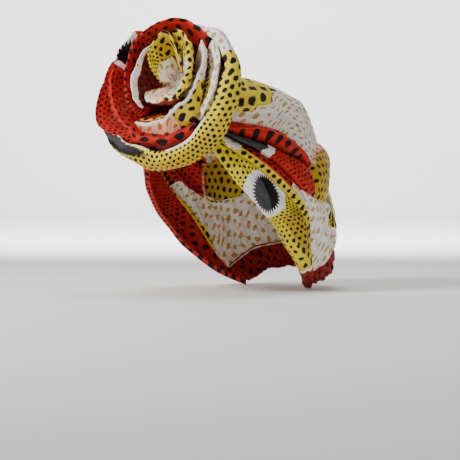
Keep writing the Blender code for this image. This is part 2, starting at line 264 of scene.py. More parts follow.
def bag(along, around):
    """How far the cloth hangs out from the hollow at the back and the nape."""
    rise = BAG * ease(118.0, 165.0, along)
    sides = 1.0 - 0.62 * ease(70.0, 112.0, np.abs(around))
    under = 1.0 - 0.45 * ease(158.0, 175.0, along)
    return rise * sides * under


def girth(along):
    """Length of cloth for a degree around, at an angle from the knot."""
    return DEGREE * np.sin(np.radians(along))


def head_points(along, around, lift):
    """Points of the cloth from the two angles and the lift from the hollow, in metres."""
    tilt = math.radians(KNOT_TILT)
    a = np.radians(along)
    b = np.radians(around)
    side = np.sin(a) * np.sin(b)
    front = np.cos(a)
    up = np.sin(a) * np.cos(b)
    way = np.stack([side, -front * math.cos(tilt) + up * math.sin(tilt),
                    front * math.sin(tilt) + up * math.cos(tilt)], axis=-1)
    size = np.sqrt(((way / (HEAD_WIDE, HEAD_DEEP, HEAD_TALL)) ** 2).sum(axis=-1))
    reach = 1.0 / size + lift + bag(along, around)
    return (way * reach[..., None] - (0.0, 0.0, SEAT_HEIGHT)) / 1000.0


def rose_points(angle, radius, height, centre=(0.0, 0.0)):
    """Points of the rosette from polar values about its axis, in metres."""
    turn = math.radians(ROSE_TURN)
    rise = math.radians(ROSE_RISE)
    out = np.array([math.sin(turn) * math.cos(rise), -math.cos(turn) * math.cos(rise),
                    math.sin(rise)])
    right = np.array([math.cos(turn), math.sin(turn), 0.0])
    up = np.array([-math.sin(turn) * math.sin(rise), math.cos(turn) * math.sin(rise),
                   math.cos(rise)])
    p = centre[0] + radius * np.cos(np.radians(angle))
    q = centre[1] + radius * np.sin(np.radians(angle))
    where = p[..., None] * right + q[..., None] * up + height[..., None] * out
    return (where + ROSE_AT - (0.0, 0.0, SEAT_HEIGHT)) / 1000.0


def dome_height(angle, radius):
    """Height of the knot's dome, which the petals stand on."""
    share = np.minimum(radius / 40.0, 1.0)
    floor = DOME_MIDDLE + (ring_value(angle, 4) - DOME_MIDDLE) * share
    return floor + 2.6 + 8.0 * (1.0 - share * share)


def chance(seed):
    """A fixed number from 0 to 1 for a seed."""
    return (math.sin(seed * 12.9898 + 4.1) * 43758.5453) % 1.0


def ripples(across, along, count, seed):
    """Soft creases that run with "along", about count of them, between -1 and 1."""
    total = np.zeros_like(across)
    for part in range(4):
        pace = count * (0.57, 1.0, 1.61, 2.3)[part]
        wander = 0.35 * np.sin(FULL_TURN * (along * (0.6 + part * 0.5) + chance(seed + part)))
        wave = np.sin(FULL_TURN * (pace * across + chance(seed + 7 + part) + wander))
        swell = 0.55 + 0.45 * np.sin(FULL_TURN * (along * 1.3 + chance(seed + 13 + part)))
        total += (0.42, 0.3, 0.18, 0.1)[part] * wave * swell
    return total


def pleats(across, along, count, seed):
    """Round pleats with narrow valleys that run with "along": 0 in a valley, up to 1 on top."""
    place = across * count + 0.22 * np.sin(FULL_TURN * (across * count * 0.31 + chance(seed)))
    place = place + 0.30 * np.sin(FULL_TURN * (0.55 * along + chance(seed + 1) + 0.4 * across))
    place = place + 0.10 * np.sin(FULL_TURN * (1.7 * along + chance(seed + 2)))
    full = 0.62 + 0.38 * np.sin(np.floor(place) * 2.4 + seed)
    return full * np.abs(np.sin(math.pi * place)) ** 0.6


def tucked(share, width, deep):
    """Visible share across a fold whose edges turn in, their depth, and the share of the print."""
    flat = (share - width) / (1.0 - 2.0 * width)
    sway = 0.09 * np.sin(FULL_TURN * np.clip(flat, 0.0, 1.0))
    turn = np.maximum(width - share, share - 1.0 + width)
    return np.clip(flat, 0.0, 1.0) - sway, -deep * np.clip(turn / width, 0.0, 1.0), flat - sway


def graded(at, side, spacing, unit, stretch=1.0):
    """Dot lattice whose spacing follows a table: positions in dot spacings along and across."""
    grid = np.linspace(at.min() - 1.0, at.max() + 1.0, 500)
    pitch = lookup(spacing, grid)
    steps = np.concatenate([[0.0], np.cumsum(np.diff(grid) * unit / (pitch[1:] * stretch))])
    return np.interp(at, grid, steps), side / lookup(spacing, at)


def end_tuck(spread):
    """Depth that the two short ends of a back piece turn in by."""
    return -2.5 * np.clip((np.abs(spread) - 0.985) / 0.015, 0.0, 1.0)


def from_edge(grid, share):
    """Length of cloth up to the row at a share along the piece, negative beyond that row."""
    steps = np.linalg.norm(np.diff(grid, axis=1), axis=2) * 1000.0
    gone = np.concatenate([np.zeros((grid.shape[0], 1)), np.cumsum(steps, axis=1)], axis=1)
    row = int(round(share * (grid.shape[1] - 1)))
    return gone[:, row:row + 1] - gone


class PrintPlan:
    """The print of one piece: dots, grounds, eye motif with painted highlight, and position on the
    cloth with painted shade.
    """

    def __init__(self, shape):
        self.fields = {name: np.zeros(shape + (3,)) for name in FIELDS}
        self.fields["grounds"][:] = NOWHERE
        self.fields["eye"][..., :2] = FAR_OFF

    def put(self, name, *values):
        """Set the columns of one field, leaving out those given as None."""
        for column, value in enumerate(values):
            if value is not None:
                self.fields[name][..., column] = value
        return self


class Wire:
    """A shader socket that can be added, multiplied and compared like a number."""

    def __init__(self, tree, socket):
        self.tree = tree
        self.socket = socket

    def maths(self, operation, *others, first=None):
        """Result of a Math node on this socket and the others."""
        node = self.tree.nodes.new("ShaderNodeMath")
        node.operation = operation
        values = ([self] if first is None else [first, self]) + list(others)
        for slot, value in zip(node.inputs, values):
            if isinstance(value, Wire):
                self.tree.links.new(value.socket, slot)
            else:
                slot.default_value = value
        return Wire(self.tree, node.outputs[0])

    def __add__(self, other):
        return self.maths("ADD", other)

    def __radd__(self, other):
        return self.maths("ADD", first=other)

    def __sub__(self, other):
        return self.maths("SUBTRACT", other)

    def __rsub__(self, other):
        return self.maths("SUBTRACT", first=other)

    def __mul__(self, other):
        return self.maths("MULTIPLY", other)

    def __rmul__(self, other):
        return self.maths("MULTIPLY", first=other)

    def __truediv__(self, other):
        return self.maths("DIVIDE", other)

    def __rtruediv__(self, other):
        return self.maths("DIVIDE", first=other)

    def __pow__(self, other):
        return self.maths("POWER", other)

    def __neg__(self):
        return self.maths("MULTIPLY", -1.0)

    def __abs__(self):
        return self.maths("ABSOLUTE")

    def least(self, other):
        """Smaller of the two."""
        return self.maths("MINIMUM", other)

    def most(self, other):
        """Larger of the two."""
        return self.maths("MAXIMUM", other)

    def off_grid(self, step=1.0):
        """Signed distance to the nearest multiple of step."""
        return self - (self / step).maths("ROUND") * step

    def above(self, edge, soft):
        """0 below edge and 1 above it, over the width soft."""
        return ((self - edge) / soft + 0.5).most(0.0).least(1.0)


class Board:
    """Node tree of one material, with short ways to add its nodes."""

    def __init__(self, tree):
        self.tree = tree

    def node(self, kind, settings=None, sockets=None):
        """New node of a type with its settings and its sockets' values or links."""
        made = self.tree.nodes.new(kind)
        for name, value in (settings or {}).items():
            setattr(made, name, value)
        for name, value in (sockets or {}).items():
            if isinstance(value, Wire):
                self.tree.links.new(value.socket, made.inputs[name])
            else:
                made.inputs[name].default_value = value
        return made

    def wire(self, made, name):
        """Output of a node as a wire."""
        return Wire(self.tree, made.outputs[name])

    def field(self, name):
        """The three columns of a point attribute, and the attribute as a vector."""
        read = self.node("ShaderNodeAttribute", {"attribute_name": name})
        apart = self.node("ShaderNodeSeparateXYZ", None, {"Vector": self.wire(read, "Vector")})
        return [self.wire(apart, axis) for axis in "XYZ"] + [self.wire(read, "Vector")]

    def mix(self, share, first, second, blend="MIX"):
        """Colour mixed from first to second by share."""
        made = self.node("ShaderNodeMix", {"data_type": "RGBA", "blend_type": blend})
        for place, value in ((0, share), (6, first), (7, second)):
            if isinstance(value, Wire):
                self.tree.links.new(value.socket, made.inputs[place])
            else:
                made.inputs[place].default_value = value
        return Wire(self.tree, made.outputs[2])

    def noise(self, vector, scale, detail, rough=0.5):
        """Noise node read at a vector."""
        return self.node("ShaderNodeTexNoise", None,
                         {"Vector": vector, "Scale": scale, "Detail": detail, "Roughness": rough})

    def lattice(self, a, b):
        """Distance to the nearest point of a lattice of equal triangles of side 1."""
        tall = math.sqrt(3.0)
        near = a.off_grid() ** 2.0 + b.off_grid(tall) ** 2.0
        far = (a - 0.5).off_grid() ** 2.0 + (b - tall / 2.0).off_grid(tall) ** 2.0
        return near.least(far) ** 0.5


def printed_cotton(colours):
    """Material of wax-printed cotton, driven by the point attributes of each piece."""
    material = bpy.data.materials.new("printed_cotton")
    material.use_nodes = True
    tree = material.node_tree
    shader = tree.nodes["Principled BSDF"]
    board = Board(tree)
    a, b, size, _ = board.field("dots")
    red_in, white_in, black_in, _ = board.field("grounds")
    eye_x, eye_y, tone, _ = board.field("eye")
    # The third column of this field is painted shade: how far each colour is mixed to its dark tone.
    u, v, shade, place = board.field("weave_and_painted_shade")
    marked = 1.0 - board.field("plain")[0]

    # Hand-cut wander of every printed edge.
    drift = board.noise(place, 0.085, 1.0)
    drift_parts = board.node("ShaderNodeSeparateColor", None,
                             {"Color": board.wire(drift, "Color")})
    drift_x = board.wire(drift_parts, "Red") - 0.5
    drift_y = board.wire(drift_parts, "Green") - 0.5
    drift_z = board.wire(drift_parts, "Blue") - 0.5
    fine = board.noise(place, 0.55, 1.0)
    ragged = board.wire(fine, "Fac") - 0.5

    # Graded black dots, each with a thin pale halo where the wax cracked.
    distance = board.lattice(a + drift_x * 0.55, b + drift_y * 0.55)
    radius = size * (1.0 + drift_z * 0.9) + ragged * 0.05
    dot = (radius - distance).above(0.0, 0.09)
    halo = (radius + 0.10 - distance).above(0.0, 0.10) * size.above(0.05, 0.02)

    # Gold berries on white, joined by broken brown stalks.
    berry_a = (u + drift_x * 9.0) / BERRY_PITCH
    berry_b = (v + drift_y * 9.0) / BERRY_PITCH
    away = board.lattice(berry_a, berry_b)
    berry_in = (0.245 + drift_z * 0.14 + ragged * 0.05 - away).above(0.0, 0.05)
    pitch = math.sqrt(3.0) / 2.0
    rows = (berry_b, berry_a * pitch + berry_b * 0.5, berry_a * pitch - berry_b * 0.5)
    gates = (drift_x + ragged * 0.3, drift_y - ragged * 0.3, drift_z + ragged * 0.3)
    stalk_in = None
    for row, gate in zip(rows, gates):
        line = (0.022 - abs(row.off_grid(pitch) + ragged * 0.04)).above(0.0, 0.025)
        line = line * gate.above(0.05, 0.03)
        stalk_in = line if stalk_in is None else stalk_in.most(line)

    edge = ragged * 1.1
    red_mask = (red_in + edge).above(0.0, 0.5)
    white_mask = (white_in + edge).above(0.0, 0.5)
    black_mask = (black_in + edge).above(0.0, 0.5)

    # Oval eye with fine teeth, one half painted grey as a highlight.
    reach = (eye_x * eye_x + eye_y * eye_y) ** 0.5
    turn = eye_y.maths("ARCTAN2", eye_x)
    teeth = abs((turn * (EYE_TEETH / FULL_TURN)).off_grid()) * 2.0
    eye_mask = (0.90 + teeth * 0.28 - reach).above(0.0, 0.02)

    # Colours, each mixed by the shade column towards a darker tone that is painted shade, laid over
    # each other from the ground up.
    yellow = board.mix(shade, colours.yellow, colours.yellow_shade)
    red = board.mix(shade, colours.red, colours.red_shade)
    white = board.mix(shade, colours.white, colours.white_shade)
    berry = board.mix(shade, colours.berry, colours.berry_shade)
    ground = board.mix(red_mask, yellow, red)
    halo_colour = board.mix(red_mask, colours.yellow_halo, colours.red_halo)
    ground = board.mix(halo * (0.30 - shade * 0.25), ground, halo_colour)
    colour = board.mix(dot, ground, colours.black)
    cotton = board.mix(stalk_in * marked, white, colours.stalk)
    cotton = board.mix(berry_in * marked, cotton, berry)
    colour = board.mix(white_mask, colour, cotton)
    # Painted highlight: the grey mixed in by the eye's third column stands in for light on a fold.
    lit = board.mix(tone, colours.black, colours.grey)
    colour = board.mix(black_mask, colour, lit)
    colour = board.mix(eye_mask, colour, lit)
    faded = board.noise(place, 0.03, 2.0)
    colour = board.mix((board.wire(faded, "Fac") - 0.45) * 0.06, colour, colours.faded)

    # Threads of the weave, and soft crumples.
    threads = (u * THREAD_RATE).maths("SINE") + (v * THREAD_RATE).maths("SINE")
    threads = threads * 0.25 + 0.5
    crumple = board.noise(place, 0.16, 3.0, 0.55)
    relief = board.wire(crumple, "Fac") + threads * 0.045
    bump = board.node("ShaderNodeBump", None,
                      {"Strength": 0.55, "Distance": 0.0011, "Height": relief})
    tree.links.new(colour.socket, shader.inputs["Base Color"])
    tree.links.new(bump.outputs["Normal"], shader.inputs["Normal"])
    shader.inputs["Roughness"].default_value = 0.60
    shader.inputs["Specular IOR Level"].default_value = 0.18
    shader.inputs["Sheen Weight"].default_value = 0.04
    shader.inputs["Sheen Roughness"].default_value = 0.45
    return material


def smooth_mesh(name, mesh):
    """Mesh data with smooth faces from a bmesh, which is freed."""
    for face in mesh.faces:
        face.smooth = True
    data = bpy.data.meshes.new(name)
    mesh.to_mesh(data)
    mesh.free()
    return data


def printed_piece(name, mesh, fields, nodes):
    """Object of printed cotton from a bmesh and its print, placed in the frame."""
    data = smooth_mesh(name, mesh)
    for field, values in fields.items():
        layer = data.attributes.new(field, "FLOAT_VECTOR", "POINT")
        layer.data.foreach_set("vector", values.astype(np.float32).ravel())
    data.materials.append(bpy.data.materials["printed_cotton"])
    piece = bpy.data.objects.new(name, data)
    bpy.context.scene.collection.objects.link(piece)
    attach(piece, "root")
    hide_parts(*nodes)
    return piece


def as_cloth(name, grid, plan, middle, settings, nodes):
    """Printed cloth object from a grid of points, (columns, rows, 3), with its wall."""
    columns, rows = grid.shape[0] - 1, grid.shape[1] - 1
    mesh = bmesh.new()
    bmesh.ops.create_grid(mesh, x_segments=columns, y_segments=rows, size=0.5)
    mesh.verts.ensure_lookup_table()
    at = [(round((v.co.x + 0.5) * columns), round((v.co.y + 0.5) * rows)) for v in mesh.verts]
    for vertex, (column, row) in zip(mesh.verts, at):
        vertex.co = grid[column, row]
    mesh.normal_update()
    inside = Vector(middle)
    facing = sum((face.calc_center_median() - inside).dot(face.normal) for face in mesh.faces)
    if facing < 0.0:
        bmesh.ops.reverse_faces(mesh, faces=mesh.faces)
    area = sum(face.calc_area() for face in mesh.faces)
    index = np.array(at)
    fields = {field: values[index[:, 0], index[:, 1]] for field, values in plan.fields.items()}
    piece = printed_piece(name, mesh, fields, nodes)
    thick = piece.modifiers.new("wall", "SOLIDIFY")
    thick.thickness = settings.wall
    thick.offset = -1.0
    steps = np.linalg.norm(np.diff(grid, axis=1), axis=2).sum(axis=1)
    length = float(np.median(steps))
    area / length
    return piece


def shares(columns, rows):
    """Grids of the shares across and along a piece."""
    return np.meshgrid(np.linspace(0.0, 1.0, columns + 1), np.linspace(0.0, 1.0, rows + 1),
                       indexing="ij")


def side_fold(settings, side, low_rows, high_rows, puff, end, lean, power, counts, folds, seed,
              pleat=0.0):
    """Points and angles of a fold that runs from the knot along one side of the wrap."""
    across, along = shares(*counts)
    theta = START + (end - START) * along
    low = lookup(low_rows, theta)
    high = lookup(high_rows, theta)
    seen, deep, flat = tucked(across, 0.07, 3.2)
    width = (high - low) * girth(theta)
    over = 2.2 * np.clip(width / 14.0, 0.0, 1.0) * seen ** 5 * (1.0 - seen) * 12.0
    phi = low + (high - low) * seen + over / girth(theta)
    lift = lookup(puff, theta) * rounded(seen, lean, power) + deep
    depth = settings.crease * 1000.0 * np.clip(width / 16.0, 0.3, 1.2)
    near_knot = 1.0 + np.exp(-((theta - 22.0) / 18.0) ** 2)
    wave = 1.5 * (pleats(seen, along, folds, seed) - 0.45)
    wave = wave + 0.7 * ripples(seen + 0.5 * along, along * 2.0, folds * 2.2, seed + 2)
    lift += depth * near_knot * wave * np.sin(math.pi * np.clip(seen, 0.0, 1.0)) ** 0.5
    lift += pleat * ease(84.0, 96.0, theta) * ease(0.56, 0.48, seen)
    return head_points(theta, side * phi, lift), theta, low + (high - low) * flat, seen


def front_band(settings, side):
    """Flat band along the front edge: a toothed eye with a painted highlight on one half, then a pale
    hem and a red end darkened with painted shade.
    """
    grid, theta, phi, _ = side_fold(settings, side, BAND_LINE, HAIRLINE, BAND_PUFF, 157.0, 1.0,
                                    0.5, (50, 230), 1.0, 3 if side > 0 else 21, 1.6)
    inch = girth(theta)
    hair = (lookup(HAIRLINE, theta) - phi) * inch
    spacing = [(10, 8), (30, 7.2), (40, 6), (50, 4.8), (57, 3.9), (64, 3.4), (82, 3.3), (90, 4.0),
               (102, 5.6), (120, 8), (135, 9.5), (138, 4.6), (157, 4.6)]
    a, b = graded(theta, hair, spacing, DEGREE, 1.32)
    pleat = ease(86.0, 96.0, theta) * ease(12.0, 14.5, hair)
    plan = PrintPlan(theta.shape).put("dots", a + 0.37 * pleat, b, 0.27 + 0.03 * pleat)
    s = (theta - EYE_ALONG) * DEGREE
    w = (phi - EYE_AROUND) * girth(EYE_ALONG)
    lean = math.radians(EYE_LEAN)
    long_way = (s * math.cos(lean) + w * math.sin(lean)) / EYE_LONG
    short_way = (w * math.cos(lean) - s * math.sin(lean)) / EYE_SHORT
    # The third column paints one half of the eye grey, a painted highlight.
    plan.put("eye", short_way, long_way, ease(-0.03, 0.03, short_way + 0.05))
    white = 24.0 * (1.0 - np.sqrt((s / 27.0) ** 2 + (w / 24.0) ** 2))
    white = np.maximum(white, between(*PALE_HEM, theta) * DEGREE)
    plan.put("grounds", (theta - RED_END) * DEGREE, white, None).put("plain", 1.0)
    # Painted shade: gold along the pleat and a dark red end.
    end_shade = 0.55 * ease(138.0, 142.0, theta)
    plan.put("weave_and_painted_shade", s, hair, np.maximum(0.75 * pleat * ease(138.0, 120.0, theta), end_shade))
    # On the right the band is red all over, with a light painted shade.
    if side < 0.0:
        plan.put("eye", FAR_OFF, FAR_OFF, 0.0).put("grounds", EVERYWHERE, NOWHERE, NOWHERE)
        plan.put("dots", a * 0.8, b * 0.8, 0.27).put("weave_and_painted_shade", None, None, 0.25)
    return grid, plan


def second_fold(settings, side):
    """Narrow fold behind the front band: red along its top, then yellow with large blots."""
    grid, theta, phi, _ = side_fold(settings, side, SECOND_LINE, BAND_LINE, SECOND_PUFF, 134.0,
                                    1.4, 0.7, (36, 190), 2.0, 5 if side > 0 else 25)
    inch = girth(theta)
    edge = (lookup(BAND_LINE, theta) - phi) * inch
    spacing = [(10, 8), (45, 7.5), (60, 8), (80, 9), (100, 10), (134, 10.5)]
    a, b = graded(theta, edge - 4.4, spacing, DEGREE, 0.95)
    plan = PrintPlan(theta.shape).put("dots", a, b, 0.31 + 0.03 * np.sin(theta * 0.9))
    red = np.minimum(edge - 7.6, between(40.0, 80.0, theta) * DEGREE)
    white = np.minimum(edge - 9.0, (theta - 80.0) * DEGREE)
    patch = 5.0 - np.hypot((theta - 36.0) * DEGREE * 0.5, edge - 6.0)
    plan.put("grounds", red, np.maximum(white, patch), None)
    # Painted shade along its edge by the front band.
    plan.put("weave_and_painted_shade", theta * DEGREE, edge, 0.25 * ease(6.0, 0.0, edge))
    return grid, plan


def third_fold(settings, side):
    """Tucked fold: a folded black eye with a painted highlight on its ridge, then red with small
    dots.
    """
    grid, theta, phi, _ = side_fold(settings, side, THIRD_LINE, SECOND_TOP, THIRD_PUFF, 103.5,
                                    1.5, 0.7, (40, 170), 3.0, 9 if side > 0 else 29)
    inch = girth(theta)
    edge = (lookup(SECOND_LINE, theta) - phi) * inch
    spacing = [(10, 6), (52, 3.6), (65, 4.2), (85, 6), (104, 8)]
    a, b = graded(theta, edge, spacing, DEGREE, 1.15)
    plan = PrintPlan(theta.shape).put("dots", a, b, 0.25)
    black = np.minimum(between(14.0, 53.0 - 0.5 * np.abs(edge - 7.0), theta) * DEGREE, 30.0)
    white = between(50.0, 57.5, theta) * DEGREE - 0.3 * np.abs(edge - 6.0)
    plan.put("grounds", EVERYWHERE, white, black)
    # Painted highlight: a grey bar on the black eye near the edge.
    plan.put("eye", None, None, ease(0.6, 1.8, edge) * ease(9.0, 6.0, edge))
    # Painted shade near its edge by the second fold.
    plan.put("weave_and_painted_shade", theta * DEGREE, edge + 4.8, 0.25 * ease(3.5, 1.0, edge)).put("plain", 1.0)
    return grid, plan


def upper_band(settings, side):
    """Puffed red band with large ovals along its ridge."""
    grid, theta, phi, seen = side_fold(settings, side, CROWN_LINE, THIRD_LINE, UPPER_PUFF, 85.0,
                                       1.5, 0.7, (44, 160), 2.0, 11 if side > 0 else 31)
    inch = girth(theta)
    top = (phi - lookup(CROWN_LINE, theta)) * inch
    spacing = [(10, 10.5), (50, 11.5), (86, 10.5)]
    a, b = graded(theta, (top - 5.5) / 1.25, spacing, DEGREE, 0.94)
    plan = PrintPlan(theta.shape).put("dots", a, b, 0.265)
    plan.put("grounds", EVERYWHERE, None, None)
    # Painted shade along its edge by the third fold.
    plan.put("weave_and_painted_shade", theta * DEGREE, top, 0.7 * ease(0.80, 0.97, seen))
    return grid, plan


def crown_cloth(settings):
    """Gathered cloth over the top, from the knot to the back seam."""
    across, along = shares(150, 104)
    seen, deep, _ = tucked(across, 0.025, 3.0)
    spread = 2.0 * seen - 1.0
    final = lookup(BACK_SEAM, np.abs(spread) * CROWN_REACH) + 0.4
    theta = START + (final - START) * np.clip(along / 0.96, 0.0, 1.0)
    sink = -3.2 * np.clip((along - 0.96) / 0.04, 0.0, 1.0)
    phi = spread * lookup(CROWN_LINE, theta)
    sides = np.clip(1.0 - spread * spread, 0.0, 1.0) ** 0.55
    ridge = 1.5 * np.cos(math.pi * 5.0 * spread) * np.sin(math.pi * along) ** 0.7
    lift = (lookup(CROWN_PUFF, theta) + ridge) * sides + deep + sink
    depth = settings.crease * 1000.0
    wave = pleats(seen, along, 10.0, 41) - 0.45
    fine = pleats(seen + 0.03 * along, along, 31.0, 47) - 0.45
    gather = 0.9 + 0.4 * np.exp(-((theta - 24.0) / 14.0) ** 2)
    packed = ease(46.0, 60.0, theta) * ease(22.0, 36.0, np.abs(phi))
    fade = sides * np.clip((1.02 - along) / 0.12, 0.0, 1.0) ** 0.5
    lift += depth * (2.6 * wave * gather + 0.6 * fine * (0.5 + 1.5 * packed)) * fade
    grid = head_points(theta, phi, lift)
    inch = girth(theta)
    a, b = graded(theta, phi * inch, [(10, 11), (40, 12.5), (60, 14), (96, 14)], DEGREE, 0.84)
    plan = PrintPlan(theta.shape).put("dots", a, b / 1.35, 0.31)
    border = 54.0 - 22.0 * (np.abs(phi) / 62.0) ** 2.2 + 1.6 * np.sin(phi * 0.35)
    plan.put("grounds", None, (theta - border) * DEGREE, None)
    plan.put("eye", None, None, 0.5)
    # Painted shade in the valleys of the pleats.
    valley = 0.30 * ease(0.30, -0.40, wave + 0.35 * fine) * fade
    plan.put("weave_and_painted_shade", theta * DEGREE, phi * inch * (1.0 + 0.45 * packed), valley)
    return grid, plan


def back_puff_cloth(settings):
    """Yellow lobe that runs across the back under the crown, turned gold by painted shade, most over
    its upper half.
    """
    across, along = shares(180, 40)
    seen, deep, flat = tucked(along, 0.07, 3.0)
    spread = 2.0 * across - 1.0
    phi = spread * PUFF_SPREAD
    top = lookup(BACK_SEAM, np.abs(spread * PUFF_REACH)) - 0.3
    top = top - 4.0 * ease(57.0, 61.0, np.abs(phi)) * ease(74.0, 68.0, np.abs(phi))
    low = lookup(DRAPE_SEAM, np.abs(spread * PUFF_REACH)) + 0.4
    theta = top + (low - top) * seen
    ends = np.clip(1.0 - np.abs(spread) ** 6, 0.0, 1.0) ** 0.5
    lift = 8.0 * rounded(seen, 0.8, 0.6) * ends + deep
    lift += 0.8 * np.cos(math.pi * 5.0 * spread) * np.sin(math.pi * seen) * ends
    depth = settings.crease * 1000.0
    lift += 1.6 * depth * (pleats(seen, across, 2.4, 53) - 0.45) * np.sin(math.pi * seen) ** 0.5
    lift += 0.5 * depth * ripples(across * 3.0, seen, 6.0, 57) * np.sin(math.pi * seen)
    grid = head_points(theta, phi, lift)
    inch = girth(theta)
    side = phi * inch
    down = (top + (low - top) * flat - 95.0) * DEGREE
    a, b = down / (8.0 * 1.15), side / 8.0
    plan = PrintPlan(theta.shape).put("dots", a, b, 0.27)
    plan.put("grounds", None, 3.0 - (theta - top) * DEGREE + 2.0 * np.sin(side * 0.22), None)
    # Painted shade: strong over the upper half, light below.
    plan.put("weave_and_painted_shade", down, side, 0.62 * ease(1.0, 0.55, seen) + 0.12)
    return grid, plan


def back_drape_cloth(settings):
    """Long wrinkled white drape from the back lobe down to the nape."""
    across, along = shares(190, 70)
    seen, deep, flat = tucked(along, 0.045, 3.0)
    spread = 2.0 * across - 1.0
    top = lookup(DRAPE_SEAM, np.abs(spread * DRAPE_REACH))
    for _ in range(4):
        top = lookup(DRAPE_SEAM, np.abs(spread) * lookup(SECOND_LINE, top))
    top = top - 0.8 - 2.6 * ease(66.0, 72.0, np.abs(spread * DRAPE_REACH))
    low = lookup(NAPE_SEAM, np.abs(spread) * NAPE_REACH) + 0.4
    theta = top + (low - top) * seen
    phi = spread * (lookup(SECOND_LINE, theta) + 2.0 * ease(122.0, 134.0, theta))
    ends = np.clip(1.0 - np.abs(spread) ** 8, 0.0, 1.0) ** 0.5
    lift = 5.5 * rounded(seen, 0.7, 0.6) * ends + deep + end_tuck(spread)
    lift += 1.4 * np.cos(math.pi * 6.0 * spread) * np.sin(math.pi * seen) * ends
    depth = settings.crease * 1000.0
    slant = across + 0.05 * along * np.sign(spread)
    wave = 2.4 * (pleats(slant, along, 15.0, 61) - 0.45)
    # Painted shade in the valleys of the pleats.
    valley = 0.28 * ease(0.0, -0.9, wave) * ends
    wave = wave + 0.7 * ripples(slant - 0.06 * along, along * 2.0, 33.0, 63)
    lift += depth * wave * np.sin(math.pi * seen) ** 0.45 * ends
    grid = head_points(theta, phi, lift)
    side = phi * girth(np.minimum(theta, WIDEST))
    down = (top + (low - top) * flat - 118.0) * DEGREE
    stripe = np.abs(np.mod(np.hypot(down - 10.0, np.abs(side) - 58.0) / 3.1, 1.0) - 0.5) * 3.1
    near = 13.0 - np.hypot(down - 10.0, side - 74.0)
    plan = PrintPlan(theta.shape)
    plan.put("grounds", None, -near, np.minimum(near, stripe - 0.62))
    plan.put("weave_and_painted_shade", down, side, valley)
    return grid, plan


def nape_cloth(settings):
    """Red gathers at the nape, darkened all over with painted shade, down to the hem."""
    across, along = shares(230, 52)
    seen, deep, flat = tucked(along, 0.045, 2.6)
    spread = 2.0 * across - 1.0
    top = lookup(NAPE_SEAM, np.abs(spread) * NAPE_REACH) - 0.3
    low = lookup(HEM, np.abs(spread) * HEM_REACH)
    theta = top + (low - top) * seen
    phi = spread * lookup(BAND_LINE, theta)
    lift = 3.5 * rounded(seen, 0.8, 0.6) + deep + end_tuck(spread)
    lift += 1.3 * np.cos(math.pi * 8.0 * spread) * np.sin(math.pi * np.minimum(seen, 0.8))
    depth = settings.crease * 1000.0
    wave = 2.2 * (pleats(across + 0.02 * along, along, 24.0, 67) - 0.45)
    wave = wave + 0.8 * ripples(across, along * 2.0, 40.0, 69)
    lift += depth * wave * np.sin(math.pi * np.minimum(seen, 0.85)) ** 0.5
    grid = head_points(theta, phi, lift)
    side = phi * girth(np.minimum(theta, WIDEST))
    down = (top + (low - top) * flat - 150.0) * DEGREE
    plan = PrintPlan(theta.shape).put("dots", down / 8.5, side / 7.5, 0.24)
    plan.put("grounds", EVERYWHERE, None, None)
    # Painted shade over the whole piece.
    plan.put("weave_and_painted_shade", down, side, 0.55)
    return grid, plan


